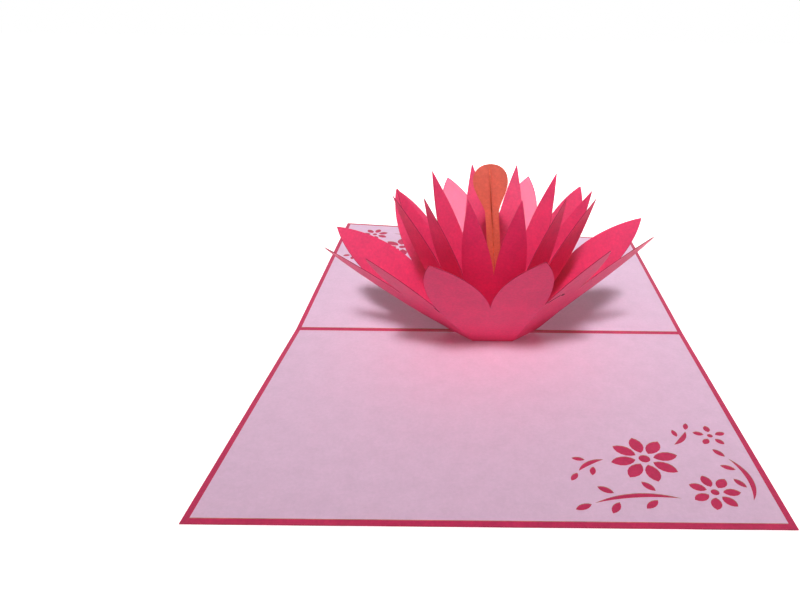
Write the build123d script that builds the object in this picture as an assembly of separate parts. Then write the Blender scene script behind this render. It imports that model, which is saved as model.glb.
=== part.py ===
# Open greeting card with a raised paper flower, in millimetres and degrees.
#
# X runs along the fold. The near half lies flat towards -Y, and the far half springs up a little.
# The origin is the middle of the fold, on the surface that the card lies on, and Z is up.
# The flower is mirrored about a plane through the fold that leans towards the near half by half
# of the far half's lift, so each side of the flower stands on its own page in the same way.

import os
from dataclasses import dataclass
from math import acos, atan2, cos, degrees, hypot, pi, radians, sin

from build123d import *

# The card
FOLD_LENGTH = 180.0
HALF_DEPTH = 124.5
COVER_THICKNESS = 0.35
LINER_THICKNESS = 0.25
LINER_MARGIN = 2.2
LINER_FOLD_GAP = 1.5
FAR_HALF_LIFT = 3.6

# The paper of the flower and the glue flaps
PETAL_THICKNESS = 0.3
BASE_TAB_FOLD_GAP = 1.6
SEAM_TAB_WIDTH = 4.0
SEAM_TAB_TAPER = 5.0
FLOWER_SIDE_OFFSET = 1.2

# The pistil: two spoon shapes slotted across each other
PISTIL_THICKNESS = 0.4
PISTIL_HEIGHT = 79.1
PISTIL_HEAD_HALF_WIDTH = 7.3
PISTIL_HEAD_WIDEST_BELOW_TOP = 7.1
PISTIL_NECK_BELOW_TOP = 20.6
PISTIL_NECK_HALF_WIDTH = 2.95
PISTIL_FOOT_HALF_WIDTH = 2.45
PISTIL_CROSS_PIECE_DROP = 1.4
PISTIL_FLAP_DEPTH = 5.0
PISTIL_SLOT_CLEARANCE = 0.1
PISTIL_FOOT_OFFSET = 2.5
PISTIL_LEAN = 3.5

# Outer ring of petals
OUTER_BASE_FROM_FOLD = 10.2
OUTER_BASE_HALF_WIDTH = 8.9
OUTER_PATTERN_RADIUS = 17.5
OUTER_NOTCH_RADIUS = 58.6
OUTER_MIDDLE_NOTCH_RADIUS = 53.5
OUTER_TIP_RADIUS = 93.5
OUTER_SEAM_FOOT = 0.8
OUTER_PETAL_PITCH = 21.4
OUTER_LEAN = 50.8
OUTER_TIP_TURNS = (1.9, -1.5, 1.5)

# Inner ring of petals
INNER_BASE_FROM_FOLD = 8.4
INNER_BASE_HALF_WIDTH = 5.2
INNER_PATTERN_RADIUS = 24.2
INNER_NOTCH_RADIUS = 61.4
INNER_MIDDLE_NOTCH_RADIUS = 60.8
INNER_TIP_RADIUS = 98.4
INNER_SEAM_FOOT = 4.0
INNER_PETAL_PITCH = 11.94
INNER_LEAN = 74.9
INNER_TIP_TURNS = (0.0, 0.0, 0.0)

# The pierced ornaments: places and sizes are shares of their spans
CORNER_SPAN = 60.0
COVER_SPAN = 76.0
LEAF_BRIDGE = 1.1
STEM_WIDTH = 1.9
LEAF_STROKES = 6


@dataclass
class Ring:
    """Cut and fold of one petal sheet: two petals on its middle panel and two on each wing."""

    base_from_fold: float      # the glued fold at the foot, from the card's fold
    base_half_width: float     # half of that fold
    pattern_radius: float      # from the foot fold down to the point that the petals fan out from
    notch_radius: float        # from the fan point to the notches between petals
    middle_notch_radius: float  # the same for the notch in the middle
    tip_radius: float          # from the fan point to the petal tips
    seam_foot: float           # height of the seam's lower end above the page
    petal_pitch: float         # angle from petal to petal
    lean: float                # rise of the middle panel
    tip_turns: tuple           # sideways turn of each tip about the fan point, from the middle out
    belly_reach: float         # where the petal's belly pulls its edge, along its length
    belly_width: float         # and across, as shares of the half width at the notch
    point_reach: float         # the same two for its pointed end
    point_width: float


OUTER = Ring(
    base_from_fold=OUTER_BASE_FROM_FOLD,
    base_half_width=OUTER_BASE_HALF_WIDTH,
    pattern_radius=OUTER_PATTERN_RADIUS,
    notch_radius=OUTER_NOTCH_RADIUS,
    middle_notch_radius=OUTER_MIDDLE_NOTCH_RADIUS,
    tip_radius=OUTER_TIP_RADIUS,
    seam_foot=OUTER_SEAM_FOOT,
    petal_pitch=OUTER_PETAL_PITCH,
    lean=OUTER_LEAN,
    tip_turns=OUTER_TIP_TURNS,
    belly_reach=0.38,
    belly_width=1.06,
    point_reach=0.24,
    point_width=0.66,
)
INNER = Ring(
    base_from_fold=INNER_BASE_FROM_FOLD,
    base_half_width=INNER_BASE_HALF_WIDTH,
    pattern_radius=INNER_PATTERN_RADIUS,
    notch_radius=INNER_NOTCH_RADIUS,
    middle_notch_radius=INNER_MIDDLE_NOTCH_RADIUS,
    tip_radius=INNER_TIP_RADIUS,
    seam_foot=INNER_SEAM_FOOT,
    petal_pitch=INNER_PETAL_PITCH,
    lean=INNER_LEAN,
    tip_turns=INNER_TIP_TURNS,
    belly_reach=0.35,
    belly_width=1.02,
    point_reach=0.30,
    point_width=0.50,
)

PETALS_ON_WING = 2
STACK = COVER_THICKNESS + LINER_THICKNESS
MID_PLANE_LEAN = FAR_HALF_LIFT / 2


def page_plane(level):
    """Near page as the flower sees it, raised by level: X along the fold, Y towards the fold."""
    slope = radians(MID_PLANE_LEAN)
    origin = (0, 0, (STACK + level) / cos(slope))
    return Plane(origin=origin, x_dir=(1, 0, 0), z_dir=(0, sin(slope), cos(slope)))


def polygon(points):
    return make_face(Polyline(*points, close=True))


def slab(face, thickness):
    """Flat face drawn on XY, given its thickness downwards."""
    return extrude(face, amount=-thickness)


def on_card(flower_piece):
    """Lean the flower's own upright plane with the half-lifted card, and set it a little aside."""
    return Location((FLOWER_SIDE_OFFSET, 0, 0)) * flower_piece.rotate(Axis.X, MID_PLANE_LEAN)


# Pierced shapes, drawn flat on XY


def leaf(foot, angle, length, width):
    """Pointed leaf, cut in short straight strokes along two arcs that meet at both ends."""
    outline = []
    for start, end, bulge in ((0, length, width / 2), (length, 0, -width / 2)):
        arc = ThreePointArc((start, 0), (length / 2, bulge), (end, 0))
        outline += [arc @ (stroke / LEAF_STROKES) for stroke in range(LEAF_STROKES)]
    return Location(foot) * Rotation(0, 0, angle) * polygon(outline)


def petal_circle(center, inner_radius, outer_radius, petals, turn):
    """Ring of leaves about a point, each a bridge away from the next."""
    length = outer_radius - inner_radius
    pitch = pi * (inner_radius + outer_radius) / petals
    width = min(pitch - LEAF_BRIDGE, 0.61 * length)
    shapes = []
    for number in range(petals):
        angle = turn + number * 360 / petals
        foot = Vector(*center) + Vector(inner_radius, 0).rotate(Axis.Z, angle)
        shapes.append(leaf(foot, angle, length, width))
    return shapes


def blossom(center, radius, petals, turn):
    """Hub with one ring of leaves about it."""
    hub_radius = 0.17 * radius
    hub = Location(center) * RegularPolygon(hub_radius, 2 * LEAF_STROKES)
    return [hub] + petal_circle(center, hub_radius + LEAF_BRIDGE, radius, petals, turn)


def sprig(start, end, bow, leaf_length, leaf_pairs, sides):
    """Stem that thins to both ends and bows to its left, with leaves beside it and one at its end."""
    along = Vector(*end) - Vector(*start)
    across = Vector(-along.Y, along.X).normalized()
    middle = (Vector(*start) + Vector(*end)) / 2 + across * bow
    outer = ThreePointArc(start, middle + across * (STEM_WIDTH / 2), end)
    inner = ThreePointArc(end, middle - across * (STEM_WIDTH / 2), start)
    shapes = [make_face([outer, inner])]
    spine = ThreePointArc(start, middle, end)
    leaf_width = 0.45 * leaf_length

    def heading(share):
        return degrees(atan2((spine % share).Y, (spine % share).X))

    for number in range(leaf_pairs):
        share = (number + 0.6) / (leaf_pairs + 0.2)
        for side in sides:
            clear = Vector(STEM_WIDTH / 2 + LEAF_BRIDGE, 0)
            foot = (spine @ share) + clear.rotate(Axis.Z, heading(share) + side * 90)
            shapes.append(leaf(foot, heading(share) + side * 46, leaf_length, leaf_width))
    foot = (spine @ 1) + Vector(LEAF_BRIDGE, 0).rotate(Axis.Z, heading(1))
    shapes.append(leaf(foot, heading(1), leaf_length, leaf_width))
    return shapes


def spread(span, x, y):
    return (x * span, y * span)


def corner_ornament():
    """Ornament of a liner's corner, with the corner at the origin and the page towards -X +Y."""
    span = CORNER_SPAN
    shapes = blossom(spread(span, -0.60, 0.49), 0.195 * span, 8, 10)
    shapes += blossom(spread(span, -0.29, 0.22), 0.135 * span, 7, 0)
    shapes += blossom(spread(span, -0.165, 0.71), 0.100 * span, 5, 90)
    low = (spread(span, -0.475, 0.17), spread(span, -0.93, 0.13))
    shapes += sprig(*low, -0.04 * span, 0.095 * span, 2, (1, -1))
    right = (spread(span, -0.11, 0.16), spread(span, -0.13, 0.50))
    shapes += sprig(*right, -0.05 * span, 0.085 * span, 2, (1,))
    left = (spread(span, -0.83, 0.48), spread(span, -0.98, 0.38))
    shapes += sprig(*left, -0.02 * span, 0.075 * span, 1, (1, -1))
    top = (spread(span, -0.40, 0.62), spread(span, -0.30, 0.75))
    return shapes + sprig(*top, -0.015 * span, 0.070 * span, 1, (1,))


def cover_ornament():
    """Upright spray in the middle of the front cover, drawn about its own centre."""
    span = COVER_SPAN
    center = spread(span, 0, 0.03)
    shapes = blossom(center, 0.110 * span, 6, 0)
    shapes += petal_circle(center, 0.125 * span, 0.225 * span, 10, 18)
    low = (spread(span, -0.06, -0.22), spread(span, -0.20, -0.46))
    shapes += sprig(*low, 0.05 * span, 0.085 * span, 2, (1, -1))
    high = (spread(span, 0.12, 0.25), spread(span, 0.20, 0.42))
    return shapes + sprig(*high, 0.03 * span, 0.070 * span, 1, (1, -1))


# The card's own sheets


def card_half(depth_start, depth_end, half_length, base, thickness, ornament):
    """Flat rectangle on the near side of the fold, pierced by the ornament."""
    outline = polygon([
        (-half_length, -depth_end),
        (half_length, -depth_end),
        (half_length, -depth_start),
        (-half_length, -depth_start),
    ])
    for shape in ornament:
        outline -= shape
    return Location((0, 0, base)) * extrude(outline, amount=thickness)


def far_side(near_piece):
    """The same piece on the far half: turned half a turn and lifted about the fold."""
    return near_piece.rotate(Axis.Z, 180).rotate(Axis.X, FAR_HALF_LIFT)


def cover_sheet():
    """One folded sheet: both halves of the cover, the front one pierced."""
    half_length = FOLD_LENGTH / 2
    spray = [Location((0, -HALF_DEPTH / 2)) * Rotation(0, 0, 90) * shape for shape in cover_ornament()]
    near = card_half(0, HALF_DEPTH, half_length, 0, COVER_THICKNESS, [])
    far = far_side(card_half(0, HALF_DEPTH, half_length, 0, COVER_THICKNESS, spray))
    return near + far


def liner():
    """Pale page of the near half, pierced in its right corner."""
    half_length = FOLD_LENGTH / 2 - LINER_MARGIN
    depth_end = HALF_DEPTH - LINER_MARGIN
    corner = (half_length, -depth_end)
    ornament = [Location(corner) * shape for shape in corner_ornament()]
    return card_half(LINER_FOLD_GAP, depth_end, half_length, COVER_THICKNESS, LINER_THICKNESS, ornament)


# The petal sheets


def fan_point(ring, radius, angle):
    """Point of the flat pattern: X along the foot fold, Y up the sheet."""
    return Vector(radius * sin(radians(angle)), radius * cos(radians(angle)) - ring.pattern_radius)


def petal_edges(ring, number):
    """Both edges of one petal, from its left notch over the tip to its right notch."""
    axis_angle = (number - 0.5) * ring.petal_pitch
    half_pitch = radians(ring.petal_pitch / 2)
    notch_along = ring.notch_radius * cos(half_pitch)
    notch_across = ring.notch_radius * sin(half_pitch)
    length = ring.tip_radius - notch_along
    belly = (notch_along + ring.belly_reach * length, notch_across * ring.belly_width)
    point = (ring.tip_radius - ring.point_reach * length, notch_across * ring.point_width)
    tip = (ring.tip_radius, 0)

    # The middle petals' outward side is their right one, where the numbers run from 1.
    tip_turn = ring.tip_turns[max(number - 1, 0)] * (1 if number > 0 else -1)

    def placed(along, across, turn=0.0):
        turned = radians(axis_angle + turn)
        x = along * sin(turned) + across * cos(turned)
        y = along * cos(turned) - across * sin(turned) - ring.pattern_radius
        return Vector(x, y)

    # The notch between petals 0 and 1 is the one in the middle of the sheet.
    def notch(side):
        in_middle = number == (0 if side > 0 else 1)
        share = ring.middle_notch_radius / ring.notch_radius if in_middle else 1.0
        return placed(share * notch_along, side * share * notch_across)

    rising = Bezier(
        notch(-1), placed(belly[0], -belly[1]),
        placed(point[0], -point[1], tip_turn), placed(*tip, tip_turn),
    )
    falling = Bezier(
        placed(*tip, tip_turn), placed(*point, tip_turn),
        placed(*belly), notch(1),
    )
    return [rising, falling]


def folded_sheet(ring, level):
    """Front petal sheet of a ring, glued on the near page at the given level."""
    thickness = PETAL_THICKNESS
    page = page_plane(level)
    foot = page.from_local_coords(Vector(0, -ring.base_from_fold, 0))
    lean = radians(ring.lean)
    panel = Plane(origin=foot, x_dir=(1, 0, 0), z_dir=(0, -sin(lean), -cos(lean)))

    corner = Vector(ring.base_half_width, 0)
    crease_end = fan_point(ring, ring.notch_radius, ring.petal_pitch)
    end_notch = fan_point(ring, ring.notch_radius, (PETALS_ON_WING + 1) * ring.petal_pitch)
    crease_start = panel.from_local_coords(corner)
    crease_run = panel.from_local_coords(crease_end) - crease_start
    crease = Axis(crease_start, crease_run)

    # The wing turns about its crease until its last notch reaches the flower's middle plane.
    arm = panel.from_local_coords(end_notch) - crease_start
    beside = arm - crease.direction * arm.dot(crease.direction)
    upward = crease.direction.cross(beside)
    missing = -(crease_start + arm - beside).Y
    swing = atan2(upward.Y, beside.Y) - acos(missing / hypot(beside.Y, upward.Y))
    fold = swing * 180 / radians(180)

    outward = panel.z_dir.rotate(Axis((0, 0, 0), crease_run), fold)
    mate_outward = Vector(outward.X, -outward.Y, outward.Z)
    seam_top = crease_start + arm - beside + beside * cos(swing) + upward * sin(swing)
    seam_run = outward.cross(mate_outward).normalized()
    foot_height = page.origin.Z + ring.seam_foot
    seam_bottom = seam_top + seam_run * ((foot_height - seam_top.Z) / seam_run.Z)
    across_foot = seam_bottom - crease_start
    run = across_foot.dot(crease.direction)
    reach = (across_foot - crease.direction * run).length
    pattern_along = (crease_end - corner).normalized()
    pattern_across = Vector(pattern_along.Y, -pattern_along.X)
    seam_foot = corner + pattern_along * run + pattern_across * reach

    # Past the seam the wing keeps a little extra, which its mate's surface then trims.
    seam_along = (end_notch - seam_foot).normalized()
    seam_across = Vector(seam_along.Y, -seam_along.X)
    spare = seam_across * (3 * thickness)

    middle_edges = [Line(corner * -1, corner), Line(corner, crease_end)]
    middle_edges += petal_edges(ring, 0) + petal_edges(ring, 1)
    middle_edges.append(Line(Vector(-crease_end.X, crease_end.Y), corner * -1))
    middle = panel * slab(make_face(middle_edges), thickness)

    wing_edges = [Line(corner, crease_end)]
    for number in range(PETALS_ON_WING):
        wing_edges += petal_edges(ring, number + 2)
    wing_edges.append(Polyline(end_notch, end_notch + spare, seam_foot + spare, seam_foot, corner))
    wing = (panel * slab(make_face(wing_edges), thickness)).rotate(crease, fold)

    inward = mate_outward * -1
    under_mate = Plane(origin=seam_top + inward * thickness, z_dir=inward)
    against_mate = Plane(origin=seam_top, z_dir=inward)
    right_wing = split(wing, bisect_by=under_mate, keep=Keep.TOP)
    left_wing = split(wing, bisect_by=against_mate, keep=Keep.TOP).mirror(Plane.YZ)

    # The seam tab continues the right wing and is glued inside the wing that it meets.
    tab_face = polygon([
        end_notch + spare,
        seam_foot + spare,
        seam_foot - seam_across * SEAM_TAB_WIDTH + seam_along * SEAM_TAB_TAPER,
        end_notch - seam_across * SEAM_TAB_WIDTH - seam_along * SEAM_TAB_TAPER,
    ])
    tab_flat = Location((0, 0, -thickness)) * slab(tab_face, thickness)
    tab_folded = (panel * tab_flat).rotate(crease, fold).mirror(Plane.XZ)
    own_face = Plane(origin=seam_top, z_dir=outward * -1)
    seam_tab = split(tab_folded, bisect_by=own_face, keep=Keep.TOP)

    base_tab_face = polygon([
        (-ring.base_half_width, -ring.base_from_fold),
        (ring.base_half_width, -ring.base_from_fold),
        (ring.base_half_width, -BASE_TAB_FOLD_GAP),
        (-ring.base_half_width, -BASE_TAB_FOLD_GAP),
    ])
    base_tab = page * extrude(base_tab_face, amount=thickness)
    return middle + right_wing + left_wing + seam_tab + base_tab


# The pistil


def pistil_outline(height):
    """Flat spoon shape with its height along Y: round head, waisted neck and slim stem."""
    head_height = height - PISTIL_HEAD_WIDEST_BELOW_TOP
    neck_height = height - PISTIL_NECK_BELOW_TOP
    head_half = PISTIL_HEAD_HALF_WIDTH
    neck_half = PISTIL_NECK_HALF_WIDTH
    top = (0, height)
    widest = (head_half, head_height)
    neck = (neck_half, neck_height)
    head_drop = head_height - neck_height
    crown = Bezier(
        top, (head_half * 0.6, height),
        (head_half, head_height + PISTIL_HEAD_WIDEST_BELOW_TOP * 0.6), widest,
    )
    throat = Bezier(
        widest, (head_half, head_height - head_drop * 0.37),
        (neck_half * 1.22, neck_height + head_drop * 0.30), neck,
    )
    stem = Polyline(neck, (PISTIL_FOOT_HALF_WIDTH, 0), (0, 0), top)
    right = make_face([crown, throat, stem])
    return right + right.mirror(Plane.YZ)


def pistil_upright(height, slot_start, slot_end):
    """One spoon in the plane of the fold, slotted and standing on the glued tabs of both pages."""
    slot_half = (PISTIL_THICKNESS + PISTIL_SLOT_CLEARANCE) / 2
    slot = polygon([
        (-slot_half, slot_start), (slot_half, slot_start), (slot_half, slot_end), (-slot_half, slot_end),
    ])
    return extrude(Plane.XZ * (pistil_outline(height) - slot), amount=PISTIL_THICKNESS / 2, both=True)


def pistil_pieces():
    """The spoon that faces along the card and the one slotted across it, both leaning to the left."""
    thickness = PISTIL_THICKNESS
    slot_half = (thickness + PISTIL_SLOT_CLEARANCE) / 2
    slot_meet = PISTIL_HEIGHT / 2
    page = page_plane(2 * PETAL_THICKNESS)
    near_page = Plane(origin=page.origin, z_dir=page.z_dir)
    far_page = Plane(origin=page.origin, z_dir=(0, -page.z_dir.Y, page.z_dir.Z))
    foot_axis = Axis(page.origin, (0, 1, 0))

    facing = pistil_upright(PISTIL_HEIGHT, 0, slot_meet)
    crossing = pistil_upright(PISTIL_HEIGHT - PISTIL_CROSS_PIECE_DROP, slot_meet, PISTIL_HEIGHT)
    crossing = crossing.rotate(Axis.Z, 90)
    placed = []
    for upright in (facing, crossing):
        leaning = upright.rotate(foot_axis, -PISTIL_LEAN)
        standing = split(leaning, bisect_by=near_page, keep=Keep.TOP)
        placed.append(split(standing, bisect_by=far_page, keep=Keep.TOP))

    # The slot parts the facing piece's foot into two legs: one bends forwards and the other back.
    flap_face = polygon([
        (-PISTIL_FOOT_HALF_WIDTH, thickness / 2), (-slot_half, thickness / 2),
        (-slot_half, -PISTIL_FLAP_DEPTH), (-PISTIL_FOOT_HALF_WIDTH, -PISTIL_FLAP_DEPTH),
    ])
    near_flap = page * extrude(flap_face, amount=thickness)
    placed[0] = placed[0] + near_flap + near_flap.rotate(Axis.Z, 180)
    return [Location((PISTIL_FOOT_OFFSET, 0, 0)) * piece for piece in placed]


def sheet_pair(ring, level):
    """Front petal sheet and its back mate, which is the same sheet turned half a turn."""
    front = folded_sheet(ring, level)
    return on_card(front), on_card(front.rotate(Axis.Z, 180))


def build():
    outer_front, outer_back = sheet_pair(OUTER, 0)
    inner_front, inner_back = sheet_pair(INNER, PETAL_THICKNESS)
    facing, crossing = pistil_pieces()
    near_liner = liner()
    return {
        "cover_sheet": cover_sheet(),
        "liner_near": near_liner,
        "liner_far": far_side(near_liner),
        "outer_petals_front": outer_front,
        "outer_petals_back": outer_back,
        "inner_petals_front": inner_front,
        "inner_petals_back": inner_back,
        "pistil_facing": on_card(facing),
        "pistil_crossing": on_card(crossing),
    }


os.makedirs("parts", exist_ok=True)
for name, piece in build().items():
    export_step(piece, f"parts/{name}.step")
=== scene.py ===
"""Pop up card: paper looks for the folded card, its two pages and the raised flower."""

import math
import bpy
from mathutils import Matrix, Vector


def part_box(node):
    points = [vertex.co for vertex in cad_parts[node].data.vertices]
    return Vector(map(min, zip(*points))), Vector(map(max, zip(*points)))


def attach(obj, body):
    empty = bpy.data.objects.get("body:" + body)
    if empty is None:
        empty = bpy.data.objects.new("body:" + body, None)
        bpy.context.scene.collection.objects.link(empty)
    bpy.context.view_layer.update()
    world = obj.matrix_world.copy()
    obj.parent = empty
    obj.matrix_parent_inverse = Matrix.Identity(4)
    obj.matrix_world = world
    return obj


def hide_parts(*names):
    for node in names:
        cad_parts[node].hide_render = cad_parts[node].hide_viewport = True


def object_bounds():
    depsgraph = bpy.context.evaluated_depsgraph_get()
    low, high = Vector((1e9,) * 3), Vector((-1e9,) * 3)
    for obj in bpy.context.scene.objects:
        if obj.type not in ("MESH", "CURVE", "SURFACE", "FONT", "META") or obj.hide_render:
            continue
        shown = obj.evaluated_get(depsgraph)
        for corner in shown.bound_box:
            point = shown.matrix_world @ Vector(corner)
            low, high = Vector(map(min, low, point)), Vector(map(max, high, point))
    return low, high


bl_info = {
    "name": "Pop Up Card",
    "version": (1, 0, 0),
    "blender": (4, 5, 0),
    "location": "3D View > Sidebar > Pop Up Card",
    "description": "Dresses an open pop up card in pearl card, dyed card and scorched cut edges",
    "category": "Object",
}

import bmesh
import bpy
from bpy.props import FloatProperty, FloatVectorProperty, PointerProperty
from mathutils import Matrix, Vector
from mathutils.bvhtree import BVHTree

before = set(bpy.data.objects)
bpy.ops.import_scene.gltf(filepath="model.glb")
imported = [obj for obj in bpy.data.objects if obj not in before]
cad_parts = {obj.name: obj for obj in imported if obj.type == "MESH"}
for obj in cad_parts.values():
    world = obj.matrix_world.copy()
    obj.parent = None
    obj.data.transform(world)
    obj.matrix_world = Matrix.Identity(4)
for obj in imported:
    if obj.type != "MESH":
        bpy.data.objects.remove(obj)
CAD_LOW, CAD_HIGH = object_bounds()

MM = 0.001

# The photograph's camera: its place in metres, its angles in degrees, its lens and sensor in
# millimetres, its shift as a share of the sensor, and the nearest and furthest it sees, in metres
CAMERA_PLACE = (-0.0017, -0.2686, 0.1375)
CAMERA_YAW = 0.34
CAMERA_PITCH = -24.28
CAMERA_ROLL = 0.81
CAMERA_LENS = 29.115
CAMERA_SENSOR = 36.0
CAMERA_SHIFT = -0.1125
CAMERA_NEAR = 0.01
CAMERA_FAR = 20.0

# How much light is added to the floor that the camera sees, near the card, and the distances
# from the card's middle, in metres, between which the floor turns fully white
FLOOR_LIFT = 0.52
FLOOR_FADE_START = 0.17
FLOOR_FADE_END = 0.30

# The floor lies this far under the card, in millimetres, so that they share no plane
FLOOR_DROP = 0.05

# How a CAD sheet is made ready to bend, in millimetres, and in degrees for the two angles
MERGE_DISTANCE = 0.001
CUT_TOLERANCE = 0.0001
FLAT_ANGLE = 0.4
CREASE_ANGLE = 12.0
CARD_GRID = 12.0
FLOWER_GRID = 8.0

# A level sheet's cut walls have normals that rise less than this share of their length, and a
# folded sheet's cut walls are narrower than this width in millimetres
WALL_RISE = 0.5
WALL_WIDTH = 0.55

# The outer ring's lean grows from nothing at its foot to its full angle at this height, in mm
FULL_ROLL_HEIGHT = 12.0

# The faint relief of pressed fibres: its strength, and its height in millimetres
RELIEF_STRENGTH = 0.25
RELIEF_HEIGHT = 0.04

# How much longer than wide the grain of the flower's card is
PRESSED_STRETCH = 1.6

# Scorch marks on a cut edge are this many grains wide, and vary its tone between these levels
SCORCH_GRAINS = 3
SCORCH_DARK = 0.75
SCORCH_LIGHT = 1.2

# Thin slits cut beside the feet of the outer petals, drawn as dark strips of painted shade for
# their open gaps:
# the corners of each, in millimetres, then the width of the strip that shows it, its height off the
# sheet, and the rows from corner to corner
OUTER_SLITS = (
    (
        (23.9, -35.1, 30.1), (26.2, -34.1, 31.0), (28.3, -33.1, 31.9),
        (29.7, -31.6, 32.0), (30.6, -29.8, 31.2), (31.0, -28.7, 30.6),
    ),
    ((-21.0, -34.6, 29.2), (-20.6, -33.8, 28.3), (-19.5, -31.9, 26.0)),
)
SLIT_WIDTH = 1.3
SLIT_RISE = 0.08
SLIT_STEPS = 4

# Places in each sheet's list of materials
FACE_SLOT, EDGE_SLOT, SLIT_SHADE_SLOT = range(3)


def linear(code):
    """Linear RGB of an sRGB hex colour such as "#E8457F"."""
    parts = [int(code[i:i + 2], 16) / 255 for i in (1, 3, 5)]
    return tuple(p / 12.92 if p <= 0.04045 else ((p + 0.055) / 1.055) ** 2.4 for p in parts)


def colour_property(label, note, code):
    """Colour that a user can change, with an sRGB hex default."""
    return FloatVectorProperty(
        name=label, description=note, subtype="COLOR", size=3, min=0, max=1, default=linear(code)
    )


def length_property(label, note, millimetres):
    """Length that a user can change, with a default in millimetres."""
    return FloatProperty(
        name=label, description=note, default=millimetres * MM, min=0, unit="LENGTH", precision=5
    )


def level_property(label, note, level):
    """Power or level of a light that a user can change."""
    return FloatProperty(name=label, description=note, default=level, min=0)


def angle_property(label, note, degrees):
    """Angle that a user can change, with a default in degrees."""
    return FloatProperty(
        name=label, description=note, default=math.radians(degrees), subtype="ANGLE"
    )


class CardSettings(bpy.types.PropertyGroup):
    """Colours, grain and warp of the cover and the pages"""

    cover_colour: colour_property("Cover", "Cerise pearl card of the cover", "#CC3660")
    cover_edge: colour_property("Cover edge", "Cut edge of the cover", "#9C2848")
    page_colour: colour_property("Page", "Pale lilac pearl paper of the pages", "#EDCDE8")
    page_edge: colour_property("Page edge", "Edge of the pages, browned by the laser", "#B98478")
    pearl: colour_property("Pearl", "Colour of the sheen that the mica coating gives", "#FFC8F0")
    grain: length_property("Grain", "Width of the fine mottling in the paper", 1.1)
    cloud: length_property("Cloud", "Width of the soft cloudy tone in the paper", 7.0)
    twist: FloatProperty(
        name="Twist",
        description="How much higher the far half's left corner stands than its middle",
        default=4.33 * MM,
        unit="LENGTH",
        precision=5,
    )


class FlowerSettings(bpy.types.PropertyGroup):
    """Colours, grain and lean of the petals and the pistil"""

    petal_colour: colour_property("Petals", "Bright pink dyed card of the petals", "#E22A60")
    petal_edge: colour_property("Petal edge", "Cut edge of the petals", "#A62A48")
    # Painted shade: the slits' dark colour stands for the shade in their narrow gaps, over a
    # scorched cut.
    slit_shade_colour: colour_property("Slit", "Thin slits that the laser scorched", "#5A0E20")
    pistil_colour: colour_property("Pistil", "Orange card of the pistil", "#E16853")
    pistil_edge: colour_property("Pistil edge", "Cut edge of the pistil", "#DC6149")
    pearl: colour_property("Pearl", "Colour of the card's soft sheen", "#FFE3FA")
    grain: length_property("Grain", "Width of the fine mottling in the card", 1.1)
    cloud: length_property("Cloud", "Width of the soft cloudy tone in the card", 7.2)
    outer_roll: angle_property("Outer roll", "How far the outer ring leans over to the left", 2.68)


class StageSettings(bpy.types.PropertyGroup):
    """Floor, lamps and surroundings"""

    floor_colour: colour_property("Floor", "Plain floor under the card", "#F4F4F4")
    floor_width: length_property("Floor width", "Side of the square floor", 6000)
    key_power: level_property("Key lamp", "Power of the soft lamp above and in front", 0.8)
    key_spread: angle_property("Key spread", "Angle that the grid on the key lamp lets through", 16)
    fill_power: level_property("Fill lamp", "Power of the low lamp in front", 2.5)
    back_power: level_property("Back lamp", "Power of the wide lamp low behind", 0.4)
    sky_colour: colour_property("Sky colour", "Warm light that comes from all round", "#FFE2DE")
    sky_level: level_property("Sky", "Level of the light from all round", 0.2)


# Shared tools


def add(tree, kind, links=(), **settings):
    """Adds a shader node, with its settings as attributes or sockets, and links into it."""
    node = tree.nodes.new(kind)
    for key, value in settings.items():
        if hasattr(node, key):
            setattr(node, key, value)
        else:
            node.inputs[key.replace("_", " ")].default_value = value
    for socket, source in links:
        tree.links.new(source, node.inputs[socket])
    return node


def new_material(name):
    """Material with an empty node tree."""
    material = bpy.data.materials.new(name)
    material.use_nodes = True
    material.node_tree.nodes.clear()
    return material


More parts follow.
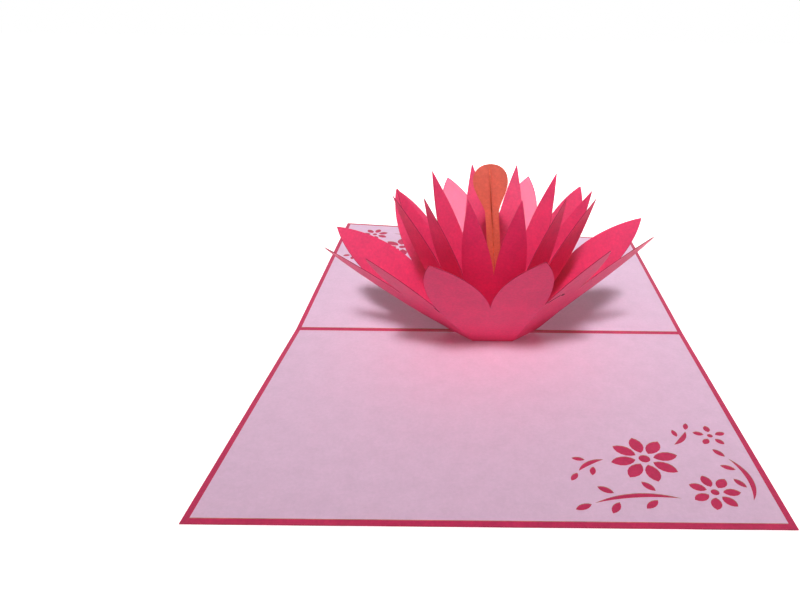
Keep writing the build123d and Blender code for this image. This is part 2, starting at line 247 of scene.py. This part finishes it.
def paper_material(name, colour, settings, depth, roughness, gloss, sheen=0.0, stretch=1.0):
    """Card or paper: fine mottled grain, soft clouds of tone and a faint relief of fibres.

    The tone varies by the depth, and the gloss is the level of the pearl coloured shine.
    """
    material = new_material(name)
    tree = material.node_tree
    place = add(tree, "ShaderNodeTexCoord").outputs["Object"]

    # Real fibres are finer than a pixel, so the grain is drawn about 1 mm wide to show.
    grain = settings.grain
    fine_place = add(
        tree, "ShaderNodeMapping", [("Vector", place)],
        Scale=(1 / grain, 1 / (grain * stretch), 1 / grain),
    )
    fine = add(
        tree, "ShaderNodeTexNoise", [("Vector", fine_place.outputs[0])],
        Scale=1.0, Detail=4.0, Roughness=0.62,
    )
    wide_place = add(
        tree, "ShaderNodeMapping", [("Vector", place)], Scale=(1 / settings.cloud,) * 3
    )
    wide = add(
        tree, "ShaderNodeTexNoise", [("Vector", wide_place.outputs[0])],
        Scale=1.0, Detail=3.0, Roughness=0.5,
    )

    # Nearly all of each noise lies within its From values. The clouds vary half as much.
    grain_tone = add(
        tree, "ShaderNodeMapRange", [("Value", fine.outputs["Fac"])],
        From_Min=0.25, From_Max=0.75, To_Min=1 - depth, To_Max=1 + depth,
    )
    cloud_tone = add(
        tree, "ShaderNodeMapRange", [("Value", wide.outputs["Fac"])],
        From_Min=0.3, From_Max=0.7, To_Min=1 - depth / 2, To_Max=1 + depth / 2,
    )
    tone = add(
        tree, "ShaderNodeMath",
        [(0, grain_tone.outputs[0]), (1, cloud_tone.outputs[0])], operation="MULTIPLY",
    )
    shade = add(tree, "ShaderNodeVectorMath", [("Scale", tone.outputs[0])], operation="SCALE")
    shade.inputs[0].default_value = colour
    relief = add(
        tree, "ShaderNodeBump", [("Height", fine.outputs["Fac"])],
        Strength=RELIEF_STRENGTH, Distance=RELIEF_HEIGHT * MM,
    )
    shader = add(
        tree, "ShaderNodeBsdfPrincipled",
        [("Base Color", shade.outputs[0]), ("Normal", relief.outputs[0])],
        Roughness=roughness,
    )
    shader.inputs["Specular IOR Level"].default_value = gloss
    shader.inputs["Specular Tint"].default_value = (*settings.pearl, 1)
    shader.inputs["Sheen Weight"].default_value = sheen
    shader.inputs["Sheen Roughness"].default_value = 0.5
    add(tree, "ShaderNodeOutputMaterial", [("Surface", shader.outputs[0])])
    return material


def edge_material(name, colour, grain):
    """Laser cut edge: the same card, dull and scorched unevenly along the cut."""
    material = new_material(name)
    tree = material.node_tree
    place = add(tree, "ShaderNodeTexCoord").outputs["Object"]
    scaled = add(
        tree, "ShaderNodeMapping", [("Vector", place)], Scale=(1 / (SCORCH_GRAINS * grain),) * 3
    )
    noise = add(tree, "ShaderNodeTexNoise", [("Vector", scaled.outputs[0])], Scale=1.0, Detail=2.0)
    tone = add(
        tree, "ShaderNodeMapRange", [("Value", noise.outputs["Fac"])],
        From_Min=0.3, From_Max=0.7, To_Min=SCORCH_DARK, To_Max=SCORCH_LIGHT,
    )
    shade = add(tree, "ShaderNodeVectorMath", [("Scale", tone.outputs[0])], operation="SCALE")
    shade.inputs[0].default_value = colour
    shader = add(
        tree, "ShaderNodeBsdfPrincipled", [("Base Color", shade.outputs[0])], Roughness=0.8
    )
    add(tree, "ShaderNodeOutputMaterial", [("Surface", shader.outputs[0])])
    return material


def is_cut_wall(face, level):
    """In a sheet that lies level the cut walls stand up, and in a folded one they are narrow."""
    if level:
        return abs(face.normal.z) < WALL_RISE
    return 2 * face.calc_area() / face.calc_perimeter() < WALL_WIDTH * MM


def sheet_mesh(node, spacing, level=False):
    """Merged copy of a CAD sheet, cut into a grid so that it can bend, its cut walls marked."""
    bm = bmesh.new()
    bm.from_mesh(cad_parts[node].data)
    bmesh.ops.remove_doubles(bm, verts=bm.verts, dist=MERGE_DISTANCE * MM)
    bmesh.ops.dissolve_limit(
        bm, angle_limit=math.radians(FLAT_ANGLE), verts=bm.verts, edges=bm.edges
    )
    for face in bm.faces:
        face.material_index = EDGE_SLOT if is_cut_wall(face, level) else FACE_SLOT
        face.smooth = True
    low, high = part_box(node)
    for axis in range(3):
        span = high[axis] - low[axis]
        if span < spacing:
            continue
        normal = Vector([1.0 if i == axis else 0.0 for i in range(3)])
        steps = math.ceil(span / spacing)
        for step in range(1, steps):
            bmesh.ops.bisect_plane(
                bm, geom=bm.verts[:] + bm.edges[:] + bm.faces[:], dist=CUT_TOLERANCE * MM,
                plane_co=low + normal * (span * step / steps), plane_no=normal,
            )
    for edge in bm.edges:
        edge.smooth = edge.calc_face_angle(math.pi) < math.radians(CREASE_ANGLE)
    return bm


def painted_shade_slit(bm, corners):
    """Laser slit in a sheet: a narrow dark strip of painted shade through the corners, just off the
    face.
    """
    sheet = BVHTree.FromBMesh(bm)
    corners = [Vector(corner) * MM for corner in corners]
    rows = []
    for start, end in zip(corners, corners[1:]):
        for step in range(SLIT_STEPS):
            foot, normal, _, _ = sheet.find_nearest(start.lerp(end, step / (SLIT_STEPS - 1)))
            across = normal.cross(end - start).normalized() * (SLIT_WIDTH / 2 * MM)
            foot = foot + normal * (SLIT_RISE * MM)
            rows.append((bm.verts.new(foot - across), bm.verts.new(foot + across)))
    for first, second in zip(rows, rows[1:]):
        face = bm.faces.new((first[0], first[1], second[1], second[0]))
        face.material_index = SLIT_SHADE_SLOT


def far_twist(point, settings):
    """The far half isn't quite flat: its left side stands higher than its right one."""
    if point.y > 0:
        point.z -= settings.twist * (point.x / CAD_HIGH.x) * (point.y / CAD_HIGH.y)


def outer_roll(point, settings):
    """The outer ring leans over to the left, from its glued foot up."""
    share = min(max(point.z / (FULL_ROLL_HEIGHT * MM), 0.0), 1.0)
    angle = settings.outer_roll * share * share * (3 - 2 * share)
    across, height = point.x, point.z
    point.x = across - math.sin(angle) * height
    point.z = height + math.sin(angle) * across


def finish_piece(name, bm, node, materials, bends):
    """Bends the mesh, makes its object, and puts it in the place of its CAD node."""
    for vert in bm.verts:
        for bend, settings in bends:
            bend(vert.co, settings)
    bmesh.ops.triangulate(bm, faces=[f for f in bm.faces if len(f.verts) > 4])
    mesh = bpy.data.meshes.new(name)
    bm.to_mesh(mesh)
    bm.free()
    for material in materials:
        mesh.materials.append(material)
    piece = bpy.data.objects.new(name, mesh)
    bpy.context.scene.collection.objects.link(piece)
    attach(piece, "root")
    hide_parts(node)


# The card


class CARD_OT_cover(bpy.types.Operator):
    """Cover of cerise pearl card, folded once"""

    bl_idname = "card.cover"
    bl_label = "Cover"

    def execute(self, context):
        settings = context.scene.pop_up_card
        # Pearl card is rolled smooth: mica in its coating gives a soft sheen over a fine grain.
        card = paper_material(
            "Cerise pearl card, rolled", settings.cover_colour, settings,
            depth=0.12, roughness=0.45, gloss=0.25,
        )
        edge = edge_material("Cerise card, laser cut edge", settings.cover_edge, settings.grain)
        bm = sheet_mesh("cover_sheet", CARD_GRID * MM, level=True)
        finish_piece("cover", bm, "cover_sheet", [card, edge], [(far_twist, settings)])
        return {"FINISHED"}


class CARD_OT_pages(bpy.types.Operator):
    """Two pages of pale lilac pearl paper with pierced corners"""

    bl_idname = "card.pages"
    bl_label = "Pages"

    def execute(self, context):
        settings = context.scene.pop_up_card
        # Pearl paper is thinner and paler, and its grain shows as a faint fleck.
        paper = paper_material(
            "Lilac pearl paper, rolled", settings.page_colour, settings,
            depth=0.05, roughness=0.45, gloss=0.25, sheen=0.1,
        )
        edge = edge_material("Lilac paper, laser cut edge", settings.page_edge, settings.grain)
        for name, node in (("page_near", "liner_near"), ("page_far", "liner_far")):
            bm = sheet_mesh(node, CARD_GRID * MM, level=True)
            finish_piece(name, bm, node, [paper, edge], [(far_twist, settings)])
        return {"FINISHED"}


# The flower


def petal_materials(settings):
    """Face, cut edge and slit of the petals' card, in the order of their slots; the slit is painted
    shade.
    """
    # Dyed card is coloured through, with short fibres pressed into a face of soft sheen.
    card = paper_material(
        "Pink dyed card, pressed", settings.petal_colour, settings,
        depth=0.12, roughness=0.5, gloss=1.0, stretch=PRESSED_STRETCH,
    )
    edge = edge_material("Pink dyed card, laser cut edge", settings.petal_edge, settings.grain)
    slit = edge_material("Pink dyed card, slit in painted shade", settings.slit_shade_colour, settings.grain)
    return [card, edge, slit]


class CARD_OT_outer_petals(bpy.types.Operator):
    """Outer ring: two glued sheets of broad petals"""

    bl_idname = "card.outer_petals"
    bl_label = "Outer petals"

    def execute(self, context):
        settings = context.scene.pop_up_flower
        bends = [(outer_roll, settings), (far_twist, context.scene.pop_up_card)]
        materials = petal_materials(settings)
        for side in ("front", "back"):
            node = "outer_petals_" + side
            bm = sheet_mesh(node, FLOWER_GRID * MM)
            if side == "front":
                # The slits are dark strips of painted shade, laid just off the front sheet.
                for corners in OUTER_SLITS:
                    painted_shade_slit(bm, corners)
            finish_piece("broad_petals_" + side, bm, node, materials, bends)
        return {"FINISHED"}


class CARD_OT_inner_petals(bpy.types.Operator):
    """Inner ring: two glued sheets of narrow upright petals"""

    bl_idname = "card.inner_petals"
    bl_label = "Inner petals"

    def execute(self, context):
        bends = [(far_twist, context.scene.pop_up_card)]
        materials = petal_materials(context.scene.pop_up_flower)
        for side in ("front", "back"):
            node = "inner_petals_" + side
            bm = sheet_mesh(node, FLOWER_GRID * MM)
            finish_piece("narrow_petals_" + side, bm, node, materials, bends)
        return {"FINISHED"}


class CARD_OT_pistil(bpy.types.Operator):
    """Two orange spoon shapes slotted across each other"""

    bl_idname = "card.pistil"
    bl_label = "Pistil"

    def execute(self, context):
        settings = context.scene.pop_up_flower
        # The same kind of card as the petals', pressed smoother, so its sheen is tighter.
        card = paper_material(
            "Orange dyed card, pressed", settings.pistil_colour, settings,
            depth=0.12, roughness=0.38, gloss=0.5, stretch=PRESSED_STRETCH,
        )
        edge = edge_material("Orange card, laser cut edge", settings.pistil_edge, settings.grain)
        bends = [(far_twist, context.scene.pop_up_card)]
        for name in ("facing", "crossing"):
            node = "pistil_" + name
            bm = sheet_mesh(node, FLOWER_GRID * MM)
            finish_piece("spoon_" + name, bm, node, [card, edge], bends)
        return {"FINISHED"}


# The stage


def seen_rays(tree):
    """1 for rays that the camera sees, straight, in gloss or through glass, and 0 for others."""
    path = add(tree, "ShaderNodeLightPath")
    seen = path.outputs["Is Camera Ray"]
    for kind in ("Is Glossy Ray", "Is Transmission Ray"):
        both = [(0, seen), (1, path.outputs[kind])]
        seen = add(tree, "ShaderNodeMath", both, operation="MAXIMUM").outputs[0]
    return seen


def floor_material(settings):
    """Matt white board: plain and even, and it keeps the card's soft shadow."""
    material = new_material("Matt white floor")
    tree = material.node_tree
    diffuse = add(tree, "ShaderNodeBsdfDiffuse")
    diffuse.inputs["Color"].default_value = (*settings.floor_colour, 1)
    # The camera sees the floor lifted towards white, and fully white away from the card.
    place = add(tree, "ShaderNodeTexCoord").outputs["Object"]
    reach = add(tree, "ShaderNodeVectorMath", [(0, place)], operation="LENGTH")
    fade = add(
        tree, "ShaderNodeMapRange", [("Value", reach.outputs["Value"])],
        From_Min=FLOOR_FADE_START, From_Max=FLOOR_FADE_END, To_Min=FLOOR_LIFT, To_Max=1.0,
    )
    lift = add(
        tree, "ShaderNodeMath", [(0, seen_rays(tree)), (1, fade.outputs[0])], operation="MULTIPLY"
    )
    glow = add(tree, "ShaderNodeEmission", [("Strength", lift.outputs[0])])
    both = add(tree, "ShaderNodeAddShader", [(0, diffuse.outputs[0]), (1, glow.outputs[0])])
    add(tree, "ShaderNodeOutputMaterial", [("Surface", both.outputs[0])])
    return material


def lay_floor(settings):
    """Wide square floor, just under the card."""
    bm = bmesh.new()
    bmesh.ops.create_grid(
        bm, x_segments=1, y_segments=1, size=settings.floor_width / 2,
        matrix=Matrix.Translation((0, 0, -FLOOR_DROP * MM)),
    )
    mesh = bpy.data.meshes.new("floor")
    bm.to_mesh(mesh)
    bm.free()
    mesh.materials.append(floor_material(settings))
    floor = bpy.data.objects.new("floor", mesh)
    bpy.context.scene.collection.objects.link(floor)


def surround(settings):
    """Surroundings that look white, and light the card softly with a slight warmth."""
    world = bpy.data.worlds.new("White surroundings")
    bpy.context.scene.world = world
    world.use_nodes = True
    tree = world.node_tree
    tree.nodes.clear()
    sky = add(tree, "ShaderNodeBackground", Strength=settings.sky_level)
    sky.inputs["Color"].default_value = (*settings.sky_colour, 1)
    white = add(tree, "ShaderNodeBackground", Strength=1.0)
    white.inputs["Color"].default_value = (1, 1, 1, 1)
    both = add(
        tree, "ShaderNodeMixShader",
        [(0, seen_rays(tree)), (1, sky.outputs[0]), (2, white.outputs[0])],
    )
    add(tree, "ShaderNodeOutputWorld", [("Surface", both.outputs[0])])


def area_lamp(name, place, target, size, power, spread=math.pi):
    """Rectangular lamp of the given width and height, turned towards its target."""
    lamp = bpy.data.lights.new(name, "AREA")
    lamp.shape = "RECTANGLE"
    lamp.size, lamp.size_y = size
    lamp.energy = power
    lamp.spread = spread
    shown = bpy.data.objects.new(name, lamp)
    shown.location = place
    shown.rotation_euler = (Vector(target) - Vector(place)).to_track_quat("-Z", "Y").to_euler()
    bpy.context.scene.collection.objects.link(shown)


def hang_lamps(settings):
    """Soft key lamp high in front, with a grid, a fill lamp low in front and one low behind."""
    area_lamp(
        "key", place=(0.0, -1.0, 1.5), target=(0.06, 0.12, 0), size=(0.6, 0.5),
        power=settings.key_power, spread=settings.key_spread,
    )
    area_lamp(
        "fill", place=(0.0, -1.3, 0.2), target=(0, 0, 0.05), size=(0.6, 0.3),
        power=settings.fill_power,
    )
    area_lamp(
        "back", place=(0.1, 1.3, 0.45), target=(0, 0, 0.04), size=(0.8, 0.8),
        power=settings.back_power,
    )


def photo_camera():
    """Camera at the photograph's viewpoint, with its own tilt and lens."""
    yaw, pitch, roll = map(math.radians, (CAMERA_YAW, CAMERA_PITCH, CAMERA_ROLL))
    forward = Vector((
        math.sin(yaw) * math.cos(pitch), math.cos(yaw) * math.cos(pitch), math.sin(pitch),
    ))
    right = Vector((math.cos(yaw), -math.sin(yaw), 0))
    up = right.cross(forward)
    tilted_right = math.cos(roll) * right + math.sin(roll) * up
    tilted_up = math.cos(roll) * up - math.sin(roll) * right
    data = bpy.data.cameras.new("photo_view")
    data.sensor_width = CAMERA_SENSOR
    data.lens = CAMERA_LENS
    data.shift_x = CAMERA_SHIFT
    data.clip_start, data.clip_end = CAMERA_NEAR, CAMERA_FAR
    camera = bpy.data.objects.new("photo_view", data)
    turn = Matrix((tilted_right, tilted_up, -forward)).transposed()
    camera.matrix_world = Matrix.Translation(CAMERA_PLACE) @ turn.to_4x4()
    bpy.context.scene.collection.objects.link(camera)
    bpy.context.scene.camera = camera


class CARD_OT_stage(bpy.types.Operator):
    """Plain floor, soft lamps, white surroundings and the camera"""

    bl_idname = "card.stage"
    bl_label = "Stage"

    def execute(self, context):
        settings = context.scene.pop_up_stage
        lay_floor(settings)
        surround(settings)
        hang_lamps(settings)
        context.scene.view_settings.view_transform = "Standard"
        photo_camera()
        return {"FINISHED"}


GROUPS = {
    "pop_up_card": CardSettings,
    "pop_up_flower": FlowerSettings,
    "pop_up_stage": StageSettings,
}
OPERATORS = (
    CARD_OT_cover,
    CARD_OT_pages,
    CARD_OT_outer_petals,
    CARD_OT_inner_petals,
    CARD_OT_pistil,
    CARD_OT_stage,
)


class CARD_PT_panel(bpy.types.Panel):
    """Lists the card's pieces and their settings"""

    bl_label = "Pop Up Card"
    bl_idname = "CARD_PT_panel"
    bl_space_type = "VIEW_3D"
    bl_region_type = "UI"
    bl_category = "Pop Up Card"

    def draw(self, context):
        for name in GROUPS:
            box = self.layout.box()
            settings = getattr(context.scene, name)
            for key in settings.__annotations__:
                box.prop(settings, key)
        for operator in OPERATORS:
            self.layout.operator(operator.bl_idname)


CLASSES = (*GROUPS.values(), *OPERATORS, CARD_PT_panel)


def register():
    """Registers the classes and gives the scene its three groups of settings."""
    for cls in CLASSES:
        bpy.utils.register_class(cls)
    for name, group in GROUPS.items():
        setattr(bpy.types.Scene, name, PointerProperty(type=group))


def unregister():
    """Undoes what register did, in the opposite order."""
    for name in GROUPS:
        delattr(bpy.types.Scene, name)
    for cls in reversed(CLASSES):
        bpy.utils.unregister_class(cls)


def main():
    """Makes every piece and the stage."""
    register()
    for operator in OPERATORS:
        group, name = operator.bl_idname.split(".")
        getattr(getattr(bpy.ops, group), name)()


if __name__ == "__main__":
    main()
